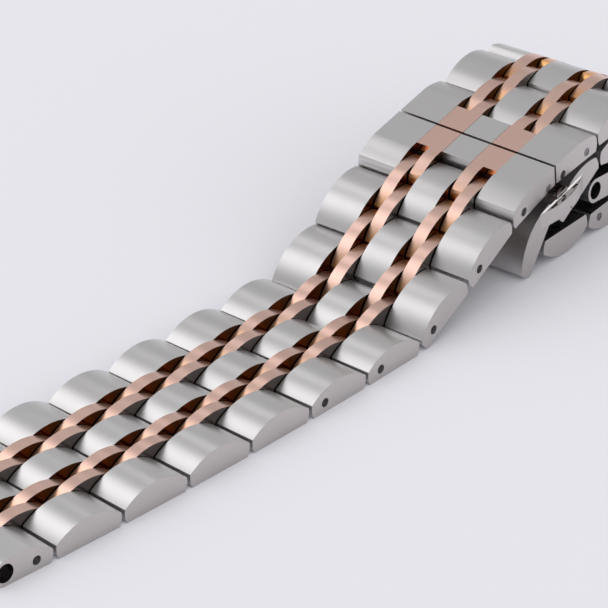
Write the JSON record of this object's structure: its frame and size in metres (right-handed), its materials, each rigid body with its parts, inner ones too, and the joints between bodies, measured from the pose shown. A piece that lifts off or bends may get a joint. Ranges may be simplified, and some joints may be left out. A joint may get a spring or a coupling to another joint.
{
  "type": "metal watch bracelet",
  "caption": "Two-tone metal watch bracelet of domed links and joiners on cross pins, with bored end links and a double folding clasp opened by half-moon push buttons.",
  "frame": {"origin": "centre of the first end link's spring bar bore", "axes": "+Y along that bore, +X along the first end link towards the rest of the strap, +Z out of the strap's outer face; the strap lies on the plane z = -1.4 mm"},
  "size_m": [0.1063, 0.0301, 0.0149],
  "materials": {
    "satin_steel": "satin brushed",
    "rose_gold": "satin brushed rose gold plate",
    "pin_steel": "turned",
    "clasp_steel": "polished sheet",
    "button_steel": "satin with polished edges"
  },
  "bodies": {
    "clasp_base": {"base_plate": "clasp_steel", "catch_frame": "clasp_steel", "hinge_pins": "pin_steel", "button_springs": "pin_steel"},
    "blade_1": {"blade_1": "clasp_steel"},
    "blade_2": {"blade_2": "clasp_steel"},
    "cover_1": {"cover_1": "satin_steel", "cover_1_inlays": "rose_gold", "cover_1_pins": "pin_steel"},
    "cover_2": {"cover_2": "satin_steel", "cover_2_inlays": "rose_gold", "cover_2_pins": "pin_steel"},
    "button_right": {"button_right": "button_steel"},
    "button_left": {"button_left": "button_steel"},
    "end_link_1": {"end_link_1": "satin_steel"},
    "joiner_1": {"joiner_1": "satin_steel"},
    "link_1": {"link_1": "satin_steel"},
    "joiner_2": {"joiner_2": "satin_steel"},
    "link_2": {"link_2": "satin_steel"},
    "joiner_3": {"joiner_3": "satin_steel"},
    "link_3": {"link_3": "satin_steel"},
    "joiner_4": {"joiner_4": "satin_steel"},
    "link_4": {"link_4": "satin_steel"},
    "joiner_5": {"joiner_5": "satin_steel"},
    "link_5": {"link_5": "satin_steel"},
    "joiner_6": {"joiner_6": "satin_steel"},
    "link_6": {"link_6": "satin_steel"},
    "joiner_7": {"joiner_7": "satin_steel"},
    "link_7": {"link_7": "satin_steel"},
    "joiner_8": {"joiner_8": "satin_steel"},
    "link_8": {"link_8": "satin_steel"},
    "joiner_9": {"joiner_9": "satin_steel"},
    "joiner_10": {"joiner_10": "satin_steel"},
    "link_9": {"link_9": "satin_steel"},
    "joiner_11": {"joiner_11": "satin_steel"},
    "link_10": {"link_10": "satin_steel"},
    "joiner_12": {"joiner_12": "satin_steel"},
    "link_11": {"link_11": "satin_steel"},
    "joiner_13": {"joiner_13": "satin_steel"},
    "link_12": {"link_12": "satin_steel"},
    "joiner_14": {"joiner_14": "satin_steel"},
    "link_13": {"link_13": "satin_steel"},
    "joiner_15": {"joiner_15": "satin_steel"},
    "link_14": {"link_14": "satin_steel"},
    "joiner_16": {"joiner_16": "satin_steel"},
    "link_15": {"link_15": "satin_steel"},
    "joiner_17": {"joiner_17": "satin_steel"},
    "link_16": {"link_16": "satin_steel"},
    "joiner_18": {"joiner_18": "satin_steel"},
    "end_link_2": {"end_link_2": "satin_steel"}
  },
  "joints": [
    {"name": "blade_1_hinge", "type": "hinge", "parent": "clasp_base", "child": "blade_1", "pos_m": [0.07626, 0.00569, 0.00688], "axis": [0.1698, -0.9847, -0.0395], "range_deg": [0, 90]},
    {"name": "cover_1_hinge", "type": "hinge", "parent": "blade_1", "child": "cover_1", "pos_m": [0.07853, 0.006, 0.00885], "axis": [-0.1698, 0.9847, 0.0395], "range_deg": [0, 90]},
    {"name": "blade_2_hinge", "type": "hinge", "parent": "clasp_base", "child": "blade_2", "pos_m": [0.08403, 0.00698, 0.00828], "axis": [-0.1698, 0.9847, 0.0395], "range_deg": [0, 10]},
    {"name": "cover_2_hinge", "type": "hinge", "parent": "blade_2", "child": "cover_2", "pos_m": [0.08125, 0.00645, 0.00934], "axis": [0.1698, -0.9847, -0.0395], "range_deg": [0, 10]},
    {"name": "button_right_press", "type": "slide", "parent": "clasp_base", "child": "button_right", "axis": [-0.1698, 0.9847, 0.0395], "range_m": [0, 0.0005], "stiffness_N_per_m": 1200, "springref_m": -0.0004},
    {"name": "button_left_press", "type": "slide", "parent": "clasp_base", "child": "button_left", "axis": [0.1698, -0.9847, -0.0395], "range_m": [0, 0.0005], "stiffness_N_per_m": 1200, "springref_m": -0.0004},
    {"name": "strap_pin_18", "type": "hinge", "parent": "cover_1", "child": "joiner_9", "pos_m": [0.07397, 0.00525, 0.00803], "axis": [0.1698, -0.9847, -0.0395], "range_deg": [-52, 61]},
    {"name": "strap_pin_17", "type": "hinge", "parent": "joiner_9", "child": "link_8", "pos_m": [0.07007, 0.00467, 0.00644], "axis": [-0.1601, 0.9866, 0.0306], "range_deg": [-70, 45]},
    {"name": "strap_pin_16", "type": "hinge", "parent": "link_8", "child": "joiner_8", "pos_m": [0.06632, 0.00415, 0.00451], "axis": [-0.1482, 0.9887, 0.0231], "range_deg": [-74, 41]},
    {"name": "strap_pin_15", "type": "hinge", "parent": "joiner_8", "child": "link_7", "pos_m": [0.0626, 0.00367, 0.00251], "axis": [0.1354, -0.9907, -0.0161], "range_deg": [-39, 76]},
    {"name": "strap_pin_14", "type": "hinge", "parent": "link_7", "child": "joiner_7", "pos_m": [0.05884, 0.00323, 0.00058], "axis": [0.1223, -0.9924, -0.0091], "range_deg": [-25, 90]},
    {"name": "strap_pin_13", "type": "hinge", "parent": "joiner_7", "child": "link_6", "pos_m": [0.0547, 0.00278, -0.0003], "axis": [-0.1087, 0.9941, 0], "range_deg": [-87, 28]},
    {"name": "strap_pin_12", "type": "hinge", "parent": "link_6", "child": "joiner_6", "pos_m": [0.05047, 0.00235, -0.0003], "axis": [-0.1004, 0.995, 0], "range_deg": [-75, 40]},
    {"name": "strap_pin_11", "type": "hinge", "parent": "joiner_6", "child": "link_5", "pos_m": [0.04624, 0.00196, -0.0003], "axis": [0.092, -0.9958, 0], "range_deg": [-40, 75]},
    {"name": "strap_pin_10", "type": "hinge", "parent": "link_5", "child": "joiner_5", "pos_m": [0.04201, 0.0016, -0.0003], "axis": [-0.0837, 0.9965, 0], "range_deg": [-75, 40]},
    {"name": "strap_pin_9", "type": "hinge", "parent": "joiner_5", "child": "link_4", "pos_m": [0.03777, 0.00128, -0.0003], "axis": [0.0753, -0.9972, 0], "range_deg": [-40, 75]},
    {"name": "strap_pin_8", "type": "hinge", "parent": "link_4", "child": "joiner_4", "pos_m": [0.03353, 0.001, -0.0003], "axis": [0.067, -0.9978, 0], "range_deg": [-40, 75]},
    {"name": "strap_pin_7", "type": "hinge", "parent": "joiner_4", "child": "link_3", "pos_m": [0.02929, 0.00075, -0.0003], "axis": [-0.0586, 0.9983, 0], "range_deg": [-75, 40]},
    {"name": "strap_pin_6", "type": "hinge", "parent": "link_3", "child": "joiner_3", "pos_m": [0.02504, 0.00053, -0.0003], "axis": [0.0502, -0.9987, 0], "range_deg": [-40, 75]},
    {"name": "strap_pin_5", "type": "hinge", "parent": "joiner_3", "child": "link_2", "pos_m": [0.0208, 0.00036, -0.0003], "axis": [-0.0419, 0.9991, 0], "range_deg": [-75, 40]},
    {"name": "strap_pin_4", "type": "hinge", "parent": "link_2", "child": "joiner_2", "pos_m": [0.01655, 0.00021, -0.0003], "axis": [0.0335, -0.9994, 0], "range_deg": [-40, 75]},
    {"name": "strap_pin_3", "type": "hinge", "parent": "joiner_2", "child": "link_1", "pos_m": [0.0123, 0.00011, -0.0003], "axis": [0.0251, -0.9997, 0], "range_deg": [-40, 75]},
    {"name": "strap_pin_2", "type": "hinge", "parent": "link_1", "child": "joiner_1", "pos_m": [0.00805, 0.00004, -0.0003], "axis": [0.0168, -0.9999, 0], "range_deg": [-40, 75]},
    {"name": "strap_pin_1", "type": "hinge", "parent": "joiner_1", "child": "end_link_1", "pos_m": [0.0038, 0, -0.0003], "axis": [-0.0084, 1, 0], "range_deg": [-75, 40]},
    {"name": "strap_pin_19", "type": "hinge", "parent": "cover_2", "child": "joiner_10", "pos_m": [0.08582, 0.00721, 0.01016], "axis": [-0.1698, 0.9847, 0.0395], "range_deg": [-25.75, 4.25]},
    {"name": "strap_pin_20", "type": "hinge", "parent": "joiner_10", "child": "link_9", "pos_m": [0.08993, 0.00788, 0.01097], "axis": [-0.169, 0.9852, 0.0273], "range_deg": [-43, 2.25]},
    {"name": "strap_pin_21", "type": "hinge", "parent": "link_9", "child": "joiner_11", "pos_m": [0.09411, 0.00859, 0.01127], "axis": [0.1707, -0.9852, -0.0152], "range_deg": [-1.5, 52]},
    {"name": "strap_pin_22", "type": "hinge", "parent": "joiner_11", "child": "link_10", "pos_m": [0.09826, 0.00932, 0.01069], "axis": [0.1794, -0.9838, -0.0067], "range_deg": [-1, 78]},
    {"name": "strap_pin_23", "type": "hinge", "parent": "link_10", "child": "joiner_12", "pos_m": [0.10116, 0.00987, 0.00763], "axis": [-0.1794, 0.9838, 0.0067], "range_deg": [-83, 0.75]},
    {"name": "strap_pin_24", "type": "hinge", "parent": "joiner_12", "child": "link_11", "pos_m": [0.10124, 0.00991, 0.00338], "axis": [0.1742, -0.9847, -0.0041], "range_deg": [-0.75, 105]},
    {"name": "strap_pin_25", "type": "hinge", "parent": "link_11", "child": "joiner_13", "pos_m": [0.09747, 0.00925, 0.00152], "axis": [-0.1641, 0.9864, -0.0041], "range_deg": [-53, 1.25]},
    {"name": "strap_pin_26", "type": "hinge", "parent": "joiner_13", "child": "link_12", "pos_m": [0.09339, 0.00857, 0.00056], "axis": [0.1554, -0.9877, 0.0144], "range_deg": [-0.7, 20]},
    {"name": "strap_pin_27", "type": "hinge", "parent": "link_12", "child": "joiner_14", "pos_m": [0.0892, 0.00791, 0.00033], "axis": [0.1471, -0.989, 0.014], "range_deg": [-1, 3.5]},
    {"name": "strap_pin_28", "type": "hinge", "parent": "joiner_14", "child": "link_13", "pos_m": [0.085, 0.00729, 0.00062], "axis": [0.1389, -0.9902, 0.0146], "range_deg": [-2, 1.5]},
    {"name": "strap_pin_29", "type": "hinge", "parent": "link_13", "child": "joiner_15", "pos_m": [0.0808, 0.0067, 0.00062], "axis": [0.1306, -0.9913, 0.0145], "range_deg": [-1.5, 0.9]},
    {"name": "strap_pin_30", "type": "hinge", "parent": "joiner_15", "child": "link_14", "pos_m": [0.07658, 0.00614, 0.00061], "axis": [0.1222, -0.9924, 0.0145], "range_deg": [-1, 0.6]},
    {"name": "strap_pin_31", "type": "hinge", "parent": "link_14", "child": "joiner_16", "pos_m": [0.07902, 0.00649, 0.00407], "axis": [-0.127, 0.9917, -0.0214], "range_deg": [-0.8, 1.25]},
    {"name": "strap_pin_32", "type": "hinge", "parent": "joiner_16", "child": "link_15", "pos_m": [0.08322, 0.00704, 0.00441], "axis": [-0.1353, 0.9906, -0.022], "range_deg": [-1.25, 2]},
    {"name": "strap_pin_33", "type": "hinge", "parent": "link_15", "child": "joiner_17", "pos_m": [0.08686, 0.00758, 0.00654], "axis": [0.1425, -0.9894, 0.0262], "range_deg": [-4, 2]},
    {"name": "strap_pin_34", "type": "hinge", "parent": "joiner_17", "child": "link_16", "pos_m": [0.09099, 0.0082, 0.00732], "axis": [0.1506, -0.9882, 0.0278], "range_deg": [-0.7, 5.5]},
    {"name": "strap_pin_35", "type": "hinge", "parent": "link_16", "child": "joiner_18", "pos_m": [0.09514, 0.00881, 0.00662], "axis": [0.1588, -0.987, 0.0264], "range_deg": [-0.75, 2.5]},
    {"name": "strap_pin_36", "type": "hinge", "parent": "joiner_18", "child": "end_link_2", "pos_m": [0.0919, 0.00822, 0.00393], "axis": [0.1524, -0.9881, 0.0211], "range_deg": [-0.7, 6]}
  ],
  "couplings": [
    {"joint": "cover_1_hinge", "follows": "blade_1_hinge", "ratio": 1},
    {"joint": "cover_2_hinge", "follows": "blade_2_hinge", "ratio": 1}
  ]
}
